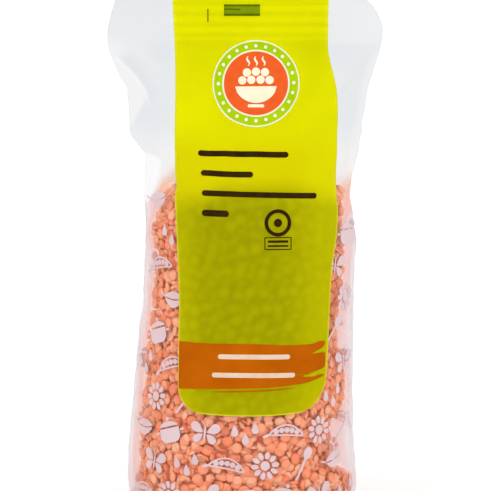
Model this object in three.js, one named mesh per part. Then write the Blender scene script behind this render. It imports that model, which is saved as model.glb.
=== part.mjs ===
// A bag of red lentils, standing: a clear pillow bag crimped shut at the top, its lower part filled
// with lentils that press small bumps into the film, and a long label folded over the top seal.
// Millimetres, +Z up, front towards -Y. The origin is on the floor under the middle of the bag.
import * as THREE from "three";

// Bag
const bagHeight = 221;
const fillHeight = 140; // level of the lentils
const sealHeight = 22; // crimped band across the top
const sealFoot = bagHeight - sealHeight;
const sealRibs = 5;
const sealRibDepth = 0.4;
const sealCurl = 9; // how far back the ends of the crimped band bend

// Reach of each side from the middle line, as [height, reach]
const leftReach = curveThrough([
  [0, 41], [8, 48.2], [20, 49], [50, 47], [78, 44.5], [91, 42.8], [150, 41.6],
  [161, 47.8], [178, 48.6], [185, 52.6], [200, 57.4], [221, 52.5],
]);
const rightReach = curveThrough([
  [0, 40], [9, 46.6], [16, 47.2], [30, 45.5], [55, 44.7], [100, 45.6], [116, 46.8],
  [135, 43.8], [153, 46.8], [178, 51], [203, 57.4], [212, 54], [221, 43],
]);
// Half the bag's depth, as [height, half depth]
const halfDepth = curveThrough([
  [0, 22], [2, 25.5], [8, 29.6], [25, 31.6], [70, 30.7], [120, 26.6], [142, 22.4],
  [160, 14.4], [180, 5.9], [sealFoot, 0.7], [bagHeight, 0.7],
]);

// Section of the bag: a full lens with pinched sides, which turns flat in the seal
const fullBulge = 2.8;
const flatBulge = 12;
const pinch = 1.12;
const flattening = 25; // height below the seal over which the section turns flat

// Back seam, a flap of film that lies flat along the back
const seamWidth = 10;
const seamHeight = 0.9;
const seamFoot = [2, 8]; // heights between which the flap rises off the film
const seamEnd = 10; // distance below the seal over which it ends
const seamEdge = 1.5; // half the width of its sloping edge

// Lentils pressing on the film
const bumpHeight = 1.2;
const bumpFade = 9; // distance over which the bumps end, at the level and at the side creases
const bumpJitter = 0.35; // most that a bump is out of its even place

// Label
const labelFoot = 46.4; // lowest point on the front
const labelBackFoot = 78; // lowest point on the back
const labelCorners = [10, 14]; // radius of the left and the right corner
// Its edges, as [height, distance along the film from the bag's middle line]
const labelLeft = curveThrough([[46, -28.4], [92, -28.6], [132, -30.1], [175, -28.6], [221, -30.3]]);
const labelRight = curveThrough([
  [46, 36.2], [75, 37.6], [105, 38.9], [132, 43], [154, 39.8], [175, 38.4], [197, 34.5], [221, 35],
]);
const labelBackRight = 33.5;
const labelThickness = 0.5;
const labelGap = 0.4;
const labelMargin = 3.5; // the film's bumps end within this distance of the label
const labelClear = 1; // and this far below its foot there are none

// Steps of the surface
const columns = 36; // along each side of a section
const filledStep = 2.95;
const neckStep = 5.4;
const sectionSteps = 48;
const labelColumns = 10;
const labelStride = 3; // the label has every third row of the film's, where that is filled
const cornerRows = [0, 0.08, 0.3, 0.7]; // rows of its rounded corners, as shares of their height

const FRONT = -1;
const BACK = 1;

// A smooth curve through points that never overshoots them
function curveThrough(points) {
  const slope = (i) => (points[i + 1][1] - points[i][1]) / (points[i + 1][0] - points[i][0]);
  const tangents = points.map((_, i) => {
    if (i === 0) return slope(0);
    if (i === points.length - 1) return slope(i - 1);
    const [before, after] = [slope(i - 1), slope(i)];
    return before * after <= 0 ? 0 : (2 * before * after) / (before + after);
  });
  return (at) => {
    let i = points.findIndex(([place]) => place > at) - 1;
    if (i === -2) i = points.length - 2;
    i = Math.max(i, 0);
    const span = points[i + 1][0] - points[i][0];
    const t = THREE.MathUtils.clamp((at - points[i][0]) / span, 0, 1);
    const held = t * t * (3 - 2 * t);
    return (
      points[i][1] * (1 - held) +
      points[i + 1][1] * held +
      tangents[i] * span * t * (1 - t) ** 2 -
      tangents[i + 1] * span * t * t * (1 - t)
    );
  };
}

// A seeded random draw from 0 to 1
function seededDraw(seed) {
  let state = seed;
  return () => {
    state = (state * 1664525 + 1013904223) % 4294967296;
    return state / 4294967296;
  };
}

// Middle surface of the bag: flat, but for the crimped band, whose ends bend back
function middleDepth(x, z) {
  const curl = THREE.MathUtils.smoothstep(z, fillHeight, bagHeight);
  const share = x / rightReach(sealFoot);
  const inSeal = (z - sealFoot) / sealHeight;
  const rib = inSeal > 0 ? Math.sin(2 * Math.PI * sealRibs * inSeal) * sealRibDepth : 0;
  return sealCurl * curl * share * share + rib;
}

// How far the film stands off the middle surface, at a share from -1 to 1 of the way between the creases
function filmDepth(share, z) {
  const flat = THREE.MathUtils.smoothstep(z, sealFoot - flattening, sealFoot);
  const bulge = THREE.MathUtils.lerp(fullBulge, flatBulge, flat);
  return halfDepth(z) * Math.max(1 - Math.abs(share) ** bulge, 0) ** (1 / pinch);
}

// One side of the section at height z, from the left crease to the right one
const sections = new Map();
function section(side, z) {
  const key = side + ":" + z.toFixed(4);
  if (!sections.has(key)) {
    const middle = (rightReach(z) - leftReach(z)) / 2;
    const halfWidth = (rightReach(z) + leftReach(z)) / 2;
    const points = [];
    for (let k = 0; k <= sectionSteps; k++) {
      const share = -Math.cos((Math.PI * k) / sectionSteps);
      const x = middle + share * halfWidth;
      points.push(new THREE.Vector3(x, middleDepth(x, z) + side * filmDepth(share, z), z));
    }
    const running = [0];
    points.slice(1).forEach((point, k) => running.push(running[k] + point.distanceTo(points[k])));
    sections.set(key, { points, running });
  }
  return sections.get(key);
}

// The point of the film at a distance along the section, measured from where x is 0
function filmPoint(side, along, z) {
  const { points, running } = section(side, z);
  const k = points.findIndex((p) => p.x > 0);
  const centre = running[k] - (points[k].x / (points[k].x - points[k - 1].x)) * (running[k] - running[k - 1]);
  const wanted = THREE.MathUtils.clamp(centre + along, 0, running[sectionSteps]);
  const next = Math.max(running.findIndex((length) => length >= wanted), 1);
  const share = (wanted - running[next - 1]) / (running[next] - running[next - 1]);
  return points[next - 1].clone().lerp(points[next], share);
}

// Distances along the section of its left and right crease, measured from where x is 0
function creases(side, z) {
  const { points, running } = section(side, z);
  const k = points.findIndex((p) => p.x > 0);
  const centre = running[k] - (points[k].x / (points[k].x - points[k - 1].x)) * (running[k] - running[k - 1]);
  return [-centre, running[sectionSteps] - centre];
}

// Direction straight out of the film
function filmNormal(side, along, z) {
  const reach = 1;
  const across = filmPoint(side, along + reach, z).sub(filmPoint(side, along - reach, z));
  const high = Math.min(z + reach, bagHeight);
  const up = filmPoint(side, along, high).sub(filmPoint(side, along, Math.max(z - reach, 0)));
  const normal = across.cross(up).normalize();
  return side === FRONT ? normal : normal.negate();
}

// The label's left and right edge at a height, which turn in round its two lower corners
function labelEdges(side, z) {
  const foot = side === FRONT ? labelFoot : labelBackFoot;
  const [left, right] = labelCorners.map((radius) => {
    const below = THREE.MathUtils.clamp(foot + radius - z, 0, radius);
    return radius - Math.sqrt(radius ** 2 - below ** 2);
  });
  const fold = THREE.MathUtils.smoothstep(z, sealFoot, bagHeight);
  const plainRight = THREE.MathUtils.lerp(labelBackRight, labelRight(bagHeight), fold);
  return [labelLeft(z) + left, (side === FRONT ? labelRight(z) : plainRight) - right];
}

// 1 where the label covers the film, falling to 0 just outside its edge
function underLabel(side, along, z) {
  const foot = side === FRONT ? labelFoot : labelBackFoot;
  const [left, right] = labelEdges(side, z + labelMargin);
  const inside = Math.min(along - left, right - along) + labelMargin;
  const above = z - foot + labelMargin + labelClear;
  return THREE.MathUtils.clamp(Math.min(inside, above) / labelMargin, 0, 1);
}

// How far the flap of the back seam lifts the film
function seamLift(side, along, z) {
  if (side === FRONT) return 0;
  const edge = seamWidth / 2 - Math.abs(along - seamWidth / 2);
  const rise = THREE.MathUtils.smoothstep(z, ...seamFoot);
  return seamHeight * rise * seamClear(z) * THREE.MathUtils.smoothstep(edge, -seamEdge, seamEdge);
}

// 1 up to where the seam's flap ends, below the seal
function seamClear(z) {
  return 1 - THREE.MathUtils.smoothstep(z, sealFoot - seamEnd, sealFoot);
}

// Heights of the rows of the film: even up to the level, wider in the neck, one on each rib and groove
function filmRows() {
  const filled = [0, 2];
  while (filled.at(-1) + filledStep < fillHeight + bumpFade) filled.push(filled.at(-1) + filledStep);
  const neckFoot = filled.at(-1);
  const count = Math.round((sealFoot - neckFoot) / neckStep);
  const neck = Array.from({ length: count }, (_, r) => neckFoot + ((sealFoot - neckFoot) * (r + 1)) / count);
  const ribs = 2 * sealRibs;
  const seal = Array.from({ length: ribs }, (_, r) => sealFoot + (sealHeight * (r + 0.5)) / ribs);
  return { filled, neck, seal: [...seal, bagHeight] };
}

function filmMesh() {
  const draw = seededDraw(7);
  const { filled, neck, seal } = filmRows();
  const heights = [...filled, ...neck, ...seal];
  // Every row runs along the front from the left crease to the right one, then back along the back
  const rowLength = 2 * columns;
  const positions = [];
  heights.forEach((z, row) => {
    for (let i = 0; i < rowLength; i++) {
      const side = i < columns ? FRONT : BACK;
      const column = side === FRONT ? i : rowLength - i;
      const atCrease = column === 0 || column === columns;
      const shifted = row > 0 && z < fillHeight;
      const shift = shifted && !atCrease && row % 2 ? 0.5 : 0;
      const [left, right] = creases(side, z);
      const along = left + ((right - left) * (column + shift)) / columns;
      const point = filmPoint(side, along, z);
      if (row > 0 && !atCrease) {
        const cover = underLabel(side, along, z);
        const sides = THREE.MathUtils.smoothstep(Math.min(along - left, right - along), 0, bumpFade);
        const level = 1 - THREE.MathUtils.smoothstep(z, fillHeight - bumpFade, fillHeight);
        const onTop = (((column - Math.floor(row / 2) - row) % 3) + 3) % 3 === 0;
        const size = onTop ? 0.65 + 0.35 * draw() : 0.25 * draw();
        const press = bumpHeight * size * sides * level * (1 - cover) * Math.min(z / bumpFade, 1);
        point.addScaledVector(filmNormal(side, along, z), press + seamLift(side, along, z));
        if (shifted && z > bumpFade && cover === 0) {
          point.x += (draw() - 0.5) * 2 * bumpJitter;
          point.z += (draw() - 0.5) * 2 * bumpJitter;
        }
      }
      positions.push(point);
    }
  });

  const faces = [];
  for (let row = 0; row + 1 < heights.length; row++)
    for (let i = 0; i < rowLength; i++) {
      const j = (i + 1) % rowLength;
      const [a, b, c, d] = [i, j, i + rowLength, j + rowLength].map((k) => k + row * rowLength);
      const leansRight = (row % 2 === 0) === i < columns;
      if (leansRight) faces.push([a, b, c], [b, d, c]);
      else faces.push([a, d, c], [a, b, d]);
    }
  const middle = positions.push(new THREE.Vector3(0, 0, 0)) - 1;
  for (let i = 0; i < rowLength; i++) faces.push([middle, (i + 1) % rowLength, i]);
  const top = (heights.length - 1) * rowLength;
  for (let i = 0; i < columns; i++) {
    const [a, b] = [top + i, top + i + 1];
    const [c, d] = [top + ((rowLength - i) % rowLength), top + rowLength - i - 1];
    if (i > 0) faces.push([a, b, c]);
    if (i < columns - 1) faces.push([b, d, c]);
  }
  return meshOf(positions, faces);
}

// The label's way over the film: up the front, over the top seal and down the back
function labelWay() {
  const { filled, neck, seal } = filmRows();
  const way = (side, foot) => {
    const widest = Math.max(...labelCorners);
    const corner = cornerRows.map((share) => foot + share * widest);
    const above = filled.filter((z) => z > foot + widest);
    const body = above.filter((z, row) => row % labelStride === 0 || z > fillHeight - filledStep);
    return [...corner, ...body, ...neck, ...seal].map((z) => ({ side, z }));
  };
  return [...way(FRONT, labelFoot), ...way(BACK, labelBackFoot).reverse()];
}

function labelMesh() {
  const rows = labelWay();
  const rowLength = labelColumns + 1;
  const positions = [];
  for (const lift of [labelGap, labelGap + labelThickness])
    for (const { side, z } of rows)
      for (let c = 0; c < rowLength; c++) {
        const along = THREE.MathUtils.lerp(...labelEdges(side, z), c / labelColumns);
        const point = filmPoint(side, along, z);
        const inSeam = side === BACK ? seamHeight : 0;
        if (z === bagHeight) point.add(new THREE.Vector3(0, side * lift, lift));
        else point.addScaledVector(filmNormal(side, along, z), lift + inSeam * seamClear(z));
        positions.push(point);
      }

  const faces = [];
  const sheet = rows.length * rowLength;
  const quad = (a, b, c, d) => faces.push([a, b, c], [b, d, c]);
  for (let r = 0; r + 1 < rows.length; r++) {
    for (let c = 0; c < labelColumns; c++) {
      const a = r * rowLength + c;
      quad(a + 1, a, a + rowLength + 1, a + rowLength);
      quad(sheet + a, sheet + a + 1, sheet + a + rowLength, sheet + a + rowLength + 1);
    }
    const left = r * rowLength;
    const right = left + labelColumns;
    quad(left, sheet + left, left + rowLength, sheet + left + rowLength);
    quad(sheet + right, right, sheet + right + rowLength, right + rowLength);
  }
  const last = (rows.length - 1) * rowLength;
  for (let c = 0; c < labelColumns; c++) {
    quad(c, c + 1, sheet + c, sheet + c + 1);
    quad(last + c + 1, last + c, sheet + last + c + 1, sheet + last + c);
  }
  return meshOf(positions, faces);
}

function meshOf(positions, faces) {
  const geometry = new THREE.BufferGeometry();
  const places = positions.flatMap((point) => point.toArray());
  geometry.setAttribute("position", new THREE.Float32BufferAttribute(places, 3));
  geometry.setIndex(faces.flat());
  geometry.computeVertexNormals();
  return geometry;
}

const filmOverLentils = new THREE.MeshStandardMaterial({ color: "#e39277", roughness: 0.35, metalness: 0 });
const yellowGreenLabel = new THREE.MeshStandardMaterial({ color: "#d4d206", roughness: 0.5, metalness: 0 });

const bag = new THREE.Mesh(filmMesh(), filmOverLentils);
bag.name = "bag";
const label = new THREE.Mesh(labelMesh(), yellowGreenLabel);
label.name = "label";

const lentilBag = new THREE.Group();
lentilBag.add(bag, label);

export default lentilBag;
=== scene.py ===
"""A clear bag of red lentils on a pale floor, with a yellow-green label folded over its crimped top.

Sizes are in millimetres, as on the maker's drawing, and meshes are made in metres. The front faces -Y.
A place on the film is (side, along, height): along runs round the film from the middle line, to the right
as the front is seen.
"""

import math

import bpy
import numpy as np
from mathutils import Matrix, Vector
from mathutils.bvhtree import BVHTree


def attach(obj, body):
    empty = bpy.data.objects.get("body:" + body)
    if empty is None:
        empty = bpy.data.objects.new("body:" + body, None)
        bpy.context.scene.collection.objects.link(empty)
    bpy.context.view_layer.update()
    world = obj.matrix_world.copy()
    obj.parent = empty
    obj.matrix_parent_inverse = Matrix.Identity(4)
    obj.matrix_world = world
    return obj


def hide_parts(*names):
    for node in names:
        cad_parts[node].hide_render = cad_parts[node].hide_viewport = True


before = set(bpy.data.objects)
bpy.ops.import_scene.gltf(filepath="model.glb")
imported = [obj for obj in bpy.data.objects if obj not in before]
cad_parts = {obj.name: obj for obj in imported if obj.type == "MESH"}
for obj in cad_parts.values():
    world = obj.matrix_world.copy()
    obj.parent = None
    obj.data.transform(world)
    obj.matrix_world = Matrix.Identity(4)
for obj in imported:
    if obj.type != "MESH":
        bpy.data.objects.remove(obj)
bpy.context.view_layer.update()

MM = 0.001
FRONT, BACK = -1, 1
INK_SHARE = 0.8  # of a shown colour's light, as the studio's light makes up the rest

# Bag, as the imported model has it
BAG_HEIGHT = 221.0
FILL_HEIGHT = 140.0
SEAL_HEIGHT = 22.0
SEAL_FOOT = BAG_HEIGHT - SEAL_HEIGHT
SEAL_CURL = 9.0
SEAL_REACH = 57.4
PINCH = 1.12
FULL_BULGE, FLAT_BULGE = 2.8, 12.0
RIBS = 5
RIB_DEPTH = 0.4
SEAM_WIDTH, SEAM_HEIGHT = 10.0, 0.9

# Label
LABEL_MIDDLE = 3.6
LABEL_FOOT = {FRONT: 46.4, BACK: 78.0}
LABEL_CORNERS = (10.0, 14.0)
LABEL_BACK_RIGHT = 33.5
LABEL_LIFT = 0.45
LABEL_THICKNESS = 0.25

# Lentils
LENTIL_ACROSS = 4.6
LENTIL_THICK = 1.75
CLEARANCE = 0.3  # between the film and the outer lentils
CORE_INSET = 5.0
LEVEL = 134.0  # of the lentils' top in the middle

# Print
PRINT_STEP = 0.9  # size of its faces
INK_LIFT = 0.07  # from one layer of ink to the next
MOTIF_ROW_STEP, MOTIF_STEP = 13.4, 16.6
MOTIF_FIRST_ROW = 12.5
MOTIF_TOP = {FRONT: 134.0, BACK: 124.0}  # the back's print stays below the clear neck
MOTIF_REACH = 6.5  # how far a motif's middle stays from the film's creases
MOTIF_TURN = 0.28  # the most that one is turned either way, in radians
MOTIF_KINDS = 7


def smoothstep(value, low, high):
    t = np.clip((value - low) / (high - low), 0, 1)
    return t * t * (3 - 2 * t)


def curve_through(points):
    """A smooth curve through (place, value) points that never overshoots them."""
    places, values = np.array(points, float).T
    spans = np.diff(places)
    slopes = np.diff(values) / spans
    turns = slopes[:-1] * slopes[1:] <= 0
    total = np.where(turns, 1, slopes[:-1] + slopes[1:])
    inner = np.where(turns, 0, 2 * slopes[:-1] * slopes[1:] / total)
    tangents = np.concatenate([slopes[:1], inner, slopes[-1:]])

    def at(place):
        i = np.clip(np.searchsorted(places, place, "right") - 1, 0, len(spans) - 1)
        t = np.clip((place - places[i]) / spans[i], 0, 1)
        held = t * t * (3 - 2 * t)
        bend = tangents[i] * (1 - t) - tangents[i + 1] * t
        return values[i] * (1 - held) + values[i + 1] * held + bend * spans[i] * t * (1 - t)

    return at


# The film's outline: low down it is up to 0.7 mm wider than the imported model's
left_reach = curve_through([
    (0, 41), (8, 48.7), (20, 49.6), (50, 47.5), (78, 44.9), (91, 42.9), (150, 41.6),
    (161, 47.8), (178, 48.6), (185, 52.6), (200, 57.4), (221, 52.5),
])
right_reach = curve_through([
    (0, 40), (9, 46.6), (16, 47.3), (30, 46.1), (55, 45.4), (100, 46.2), (116, 47),
    (135, 43.8), (153, 46.8), (178, 51), (203, 57.4), (212, 54), (221, 43),
])
half_depth = curve_through([
    (0, 22), (2, 25.5), (8, 29.6), (25, 31.6), (70, 30.7), (120, 26.6), (142, 22.4),
    (160, 14.4), (180, 5.9), (SEAL_FOOT, 0.7), (BAG_HEIGHT, 0.7),
])
label_left = curve_through([(46, -28.4), (92, -28.6), (132, -30.1), (175, -28.6), (221, -30.3)])
label_right = curve_through([
    (46, 36.2), (75, 37.6), (105, 38.9), (132, 43), (154, 39.8), (175, 38.4), (197, 34.5), (221, 35),
])
# The empty film's clear corners beside its creases, on the left: each ends at this x
left_lobe = curve_through([
    (158, -50), (161, -48.5), (168, -44.5), (175, -41), (183, -45), (194, -57), (198, -62),
])
left_corner = curve_through([(128, -41), (134, -38.3), (140, -36.3), (149, -34.6), (152, -40), (155, -50)])
# How far the lentils stay clear of the film's edges, which hang slack
left_slack = curve_through([
    (0, 4.5), (16, 4), (47, 3.5), (72, 3.4), (92, 2.8), (104, 4), (109, 5), (114, 3), (121, 1.6), (128, 4),
    (142, 7.5),
])
right_slack = curve_through([
    (0, 5), (10, 2.5), (17, 2), (22, 7.4), (28, 9.5), (38, 9.2), (43, 5.7), (50, 2.2), (64, 3.2), (76, 6.2),
    (93, 4.6), (105, 3.8), (120, 5), (132, 2), (142, 1.5),
])
# Height of the lentils' top from left to right
heap_line = curve_through([
    (-46, 131), (-42, 131.5), (-38, 134), (-34, 138), (-29, 140.5), (-14, 136.5), (0, 134.5), (20, 136),
    (38, 138.5), (46, 140.5),
])


def soft_noise(u, v, size, seed):
    """Smooth noise from -1 to 1 with swells about as large as size."""
    cells = 64
    grid = np.random.default_rng(seed).uniform(-1, 1, (cells, cells))
    a, b = np.asarray(u) / size, np.asarray(v) / size
    i, j = np.floor(a).astype(int), np.floor(b).astype(int)
    s, t = smoothstep(a - i, 0, 1), smoothstep(b - j, 0, 1)
    low = grid[i % cells, j % cells] * (1 - s) + grid[(i + 1) % cells, j % cells] * s
    high = grid[i % cells, (j + 1) % cells] * (1 - s) + grid[(i + 1) % cells, (j + 1) % cells] * s
    return low * (1 - t) + high * t


# The film's surface

def middle_depth(x, z):
    """Middle surface between front and back: flat below, its ends bent back at the crimped band."""
    in_seal = (z - SEAL_FOOT) / SEAL_HEIGHT
    rib = np.where(in_seal > 0, np.sin(2 * np.pi * RIBS * in_seal) * RIB_DEPTH, 0)
    return SEAL_CURL * smoothstep(z, FILL_HEIGHT, BAG_HEIGHT) * (x / SEAL_REACH) ** 2 + rib


def film_depth(x, z):
    """How far the film stands off the middle surface."""
    middle = (right_reach(z) - left_reach(z)) / 2
    half_width = (right_reach(z) + left_reach(z)) / 2
    share = np.clip(np.abs(x - middle) / half_width, 0, 1)
    flat = smoothstep(z, SEAL_FOOT - 25, SEAL_FOOT)
    bulge = FULL_BULGE + (FLAT_BULGE - FULL_BULGE) * flat
    return half_depth(z) * (1 - share**bulge) ** (1 / PINCH)


def section_lengths(side, z):
    """x and the length round the film from x = 0, from the left crease to the right one, at one height."""
    steps = 96
    turn = -np.cos(np.pi * np.arange(steps + 1) / steps)
    reach_left, reach_right = left_reach(z), right_reach(z)
    x = (reach_right - reach_left) / 2 + turn * (reach_right + reach_left) / 2
    y = middle_depth(x, z) + side * film_depth(x, z)
    length = np.concatenate([[0], np.cumsum(np.hypot(np.diff(x), np.diff(y)))])
    return x, length - np.interp(0, x, length)


HEIGHT_STEP = 0.5
ALONG_STEP = 0.5
WIDEST = 66.0
table_heights = np.arange(0, BAG_HEIGHT + HEIGHT_STEP, HEIGHT_STEP)
table_alongs = np.arange(-WIDEST, WIDEST + ALONG_STEP, ALONG_STEP)


def unrolled_film(side):
    """x for each height and length along the film, and the lengths at which its two creases lie."""
    rows, ends = [], []
    for z in table_heights:
        x, along = section_lengths(side, z)
        rows.append(np.interp(table_alongs, along, x))
        ends.append((along[0], along[-1]))
    return np.array(rows), np.array(ends)


unrolled = {side: unrolled_film(side) for side in (FRONT, BACK)}


def look_up(table, along, z):
    """The value of a table of heights and lengths, between its entries."""
    r = np.clip(z / HEIGHT_STEP, 0, len(table_heights) - 1.001)
    c = np.clip((along + WIDEST) / ALONG_STEP, 0, len(table_alongs) - 1.001)
    i, j = np.floor(r).astype(int), np.floor(c).astype(int)
    s, t = r - i, c - j
    low = table[i, j] * (1 - t) + table[i, j + 1] * t
    high = table[i + 1, j] * (1 - t) + table[i + 1, j + 1] * t
    return low * (1 - s) + high * s


def crease_ends(side, z):
    left = np.interp(z, table_heights, unrolled[side][1][:, 0])
    right = np.interp(z, table_heights, unrolled[side][1][:, 1])
    return left, right


def smooth_point(side, along, z):
    """The unwrinkled film, as an array of points."""
    along, z = np.broadcast_arrays(np.asarray(along, float), np.asarray(z, float))
    x = look_up(unrolled[side][0], along, z)
    y = middle_depth(x, z) + side * film_depth(x, z)
    return np.stack([x, y, z], -1)


def film_normal(side, along, z):
    """Direction straight out of the film."""
    reach = 1.0
    across = smooth_point(side, along + reach, z) - smooth_point(side, along - reach, z)
    up = smooth_point(side, along, np.minimum(z + reach, BAG_HEIGHT))
    up = up - smooth_point(side, along, np.maximum(z - reach, 0))
    normal = np.cross(across, up) * -side
    return normal / np.maximum(np.linalg.norm(normal, axis=-1, keepdims=True), 1e-9)


# Folds of the film, each a line of (along, height) points with the fold's width and how far it stands out

FOLDS = {
    FRONT: [
        ([(-60, 197), (-44, 181), (-40, 172)], 2.0, 1.6),
        ([(-56, 199), (-41, 184), (-35, 168)], 3.2, -1.3),
        ([(-47, 163), (-38, 150), (-30, 139)], 2.6, -1.5),
        ([(-41, 175), (-44, 168), (-49, 160)], 2.4, -1.0),
        ([(-30, 197), (-31, 176), (-36, 150)], 4.5, 1.0),
        ([(-45, 196), (-40, 191), (-36, 186)], 2.0, 0.5),
        ([(56, 197), (47, 178), (42, 158)], 4.0, 0.25),
        ([(48, 198), (41, 184), (39, 166)], 4.5, -0.2),
        ([(56, 196), (46, 197), (36, 196)], 1.8, -0.7),
        ([(43, 160), (40, 146), (44, 134)], 2.6, -1.0),
        ([(20, 196), (24, 175), (20, 150)], 6.0, 0.8),
        ([(-8, 196), (-10, 172), (-4, 146)], 7.0, -0.8),
        ([(-58, 197), (0, 195), (58, 197)], 2.2, -0.7),
    ],
    BACK: [
        ([(-58, 198), (-46, 180), (-38, 170)], 3.2, 0.6),
        ([(-50, 199), (-40, 184), (-32, 164)], 4.0, -0.5),
        ([(57, 198), (46, 184), (36, 172)], 2.8, 0.5),
        ([(50, 199), (40, 184), (30, 160)], 4.5, -0.25),
        ([(-24, 197), (-20, 172), (-28, 146)], 5.0, 0.9),
        ([(16, 196), (22, 176), (14, 148)], 5.0, -0.8),
        ([(-58, 197), (0, 195), (58, 197)], 2.2, -0.7),
    ],
}


def distance_to_line(u, v, line):
    """Distance from points to a line of several stretches."""
    best = np.full(np.shape(u), 1e9)
    for (ax, ay), (bx, by) in zip(line, line[1:]):
        dx, dy = bx - ax, by - ay
        t = np.clip(((u - ax) * dx + (v - ay) * dy) / (dx * dx + dy * dy), 0, 1)
        best = np.minimum(best, np.hypot(u - ax - t * dx, v - ay - t * dy))
    return best


def label_edges(side, z):
    """The label's left and right edge, which turn in round its two lower corners."""
    turned_in = []
    for radius in LABEL_CORNERS:
        below = np.clip(LABEL_FOOT[side] + radius - z, 0, radius)
        turned_in.append(radius - np.sqrt(radius**2 - below**2))
    right = label_right(z)
    if side == BACK:
        wider = label_right(BAG_HEIGHT) - LABEL_BACK_RIGHT
        right = LABEL_BACK_RIGHT + wider * smoothstep(z, SEAL_FOOT, BAG_HEIGHT)
    return label_left(z) + turned_in[0], right - turned_in[1]


def under_label(side, along, z):
    """1 where the label covers the film, falling to 0 just outside it."""
    margin = 2.0
    left, right = label_edges(side, z)
    inside = np.minimum(np.minimum(along - left, right - along), z - LABEL_FOOT[side])
    return smoothstep(inside, -margin, 0)


def folds(side, along, z):
    """How far the folds and crinkles lift the film."""
    room = np.clip(half_depth(z) / 6, 0.12, 1)
    neck = smoothstep(z, FILL_HEIGHT - 12, FILL_HEIGHT + 6)
    lift = np.zeros(np.shape(along))
    for line, width, height in FOLDS[side]:
        away = distance_to_line(along, z, line) / width
        lift = lift + height * np.exp(-(away**1.5))
    swell = 0.9 * soft_noise(along, z, 17, 11 + side) + 0.45 * soft_noise(along, z, 8, 21 + side)
    free = 1 - under_label(side, along, z)
    crinkle = (0.4 - np.abs(soft_noise(along + 0.4 * z, z * 0.8, 6, 31 + side))) * 0.7 * free
    lift = (lift + (swell + crinkle) * neck) * room

    # Upright crinkles in the slack film beside the lentils
    left, right = crease_ends(side, z)
    slack = np.exp(-((np.minimum(along - left, right - along) / 7) ** 2)) * smoothstep(z, 3, 14) * (1 - neck)
    pleat = soft_noise(along * 2.4, z * 0.35, 6, 41 + side) + 0.5 * soft_noise(along * 3, z, 4, 51 + side)
    return lift + pleat * 0.55 * slack


def seam_flap(side, along, z):
    """How far the welded flap down the back lifts the film."""
    if side == FRONT:
        return np.zeros(np.shape(along))
    edge = SEAM_WIDTH / 2 - np.abs(along - SEAM_WIDTH / 2)
    ends = smoothstep(z, 2, 8) * (1 - smoothstep(z, SEAL_FOOT - 10, SEAL_FOOT))
    return SEAM_HEIGHT * ends * smoothstep(edge, -0.5, 0.5)


# Filled in once the lentils lie in the bag: how far the film sags between them
sag = {side: np.zeros((len(table_heights), len(table_alongs))) for side in (FRONT, BACK)}
soft_sag = {side: np.zeros((len(table_heights), len(table_alongs))) for side in (FRONT, BACK)}


def film_point(side, along, z, lift=0.0):
    """A point at a height over the wrinkled film."""
    total = folds(side, along, z) + seam_flap(side, along, z) + look_up(sag[side], along, z) + lift
    return smooth_point(side, along, z) + film_normal(side, along, z) * total[..., None]


def label_point(side, along, z, lift=0.0):
    """A point at a height over the label, which bridges the small hollows of the film."""
    flap = SEAM_HEIGHT * (1 - smoothstep(z, SEAL_FOOT - 10, SEAL_FOOT)) if side == BACK else 0
    total = folds(side, along, z) + flap + look_up(soft_sag[side], along, z) + LABEL_LIFT + lift
    return smooth_point(side, along, z) + film_normal(side, along, z) * total[..., None]


# Meshes and node trees

def object_of(name, mesh):
    """An object in the scene that shows this mesh."""
    mesh.name = name
    piece = bpy.data.objects.new(name, mesh)
    bpy.context.scene.collection.objects.link(piece)
    return piece


def mesh_piece(name, points, faces, material=None):
    """An object whose mesh has these points, in millimetres."""
    mesh = bpy.data.meshes.new(name)
    mesh.from_pydata((np.asarray(points) * MM).tolist(), [], [list(map(int, f)) for f in faces])
    mesh.validate()
    mesh.shade_smooth()
    if material:
        mesh.materials.append(material)
    return object_of(name, mesh)


def lattice_faces(rows, columns, start=0, around=False):
    """Faces of a lattice of points; around joins the last column to the first."""
    last = columns if around else columns - 1
    r, c = np.meshgrid(np.arange(rows - 1), np.arange(last), indexing="ij")
    n = (c + 1) % columns
    quads = np.stack([r * columns + c, r * columns + n, (r + 1) * columns + n, (r + 1) * columns + c], -1)
    return (quads.reshape(-1, 4) + start).tolist()


def point_values(piece, name, values):
    """Stores one number for each point of a mesh, for its material."""
    attribute = piece.data.attributes.new(name, "FLOAT", "POINT")
    attribute.data.foreach_set("value", np.asarray(values, np.float32).ravel())


def node(tree, kind, settings=None, **inputs):
    """Adds a node; an input is a value, or the socket or node that it comes from. in_0 is input number 0."""
    made = tree.nodes.new(kind)
    for key, value in (settings or {}).items():
        setattr(made, key, value)
    for key, value in inputs.items():
        socket = made.inputs[int(key[3:]) if key.startswith("in_") else key.replace("_", " ")]
        if isinstance(value, bpy.types.Node):
            value = next(s for s in value.outputs if s.enabled)
        if isinstance(value, bpy.types.NodeSocket):
            tree.links.new(value, socket)
        else:
            socket.default_value = value
    return made


def geometry_tree(name, inputs):
    """A geometry tree with one geometry in and out and inputs of the given kinds, and its given values."""
    tree = bpy.data.node_groups.new(name, "GeometryNodeTree")
    tree.interface.new_socket("Geometry", in_out="INPUT", socket_type="NodeSocketGeometry")
    for label, kind in inputs.items():
        tree.interface.new_socket(label, in_out="INPUT", socket_type="NodeSocket" + kind)
    tree.interface.new_socket("Geometry", in_out="OUTPUT", socket_type="NodeSocketGeometry")
    return tree, tree.nodes.new("NodeGroupInput").outputs


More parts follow.
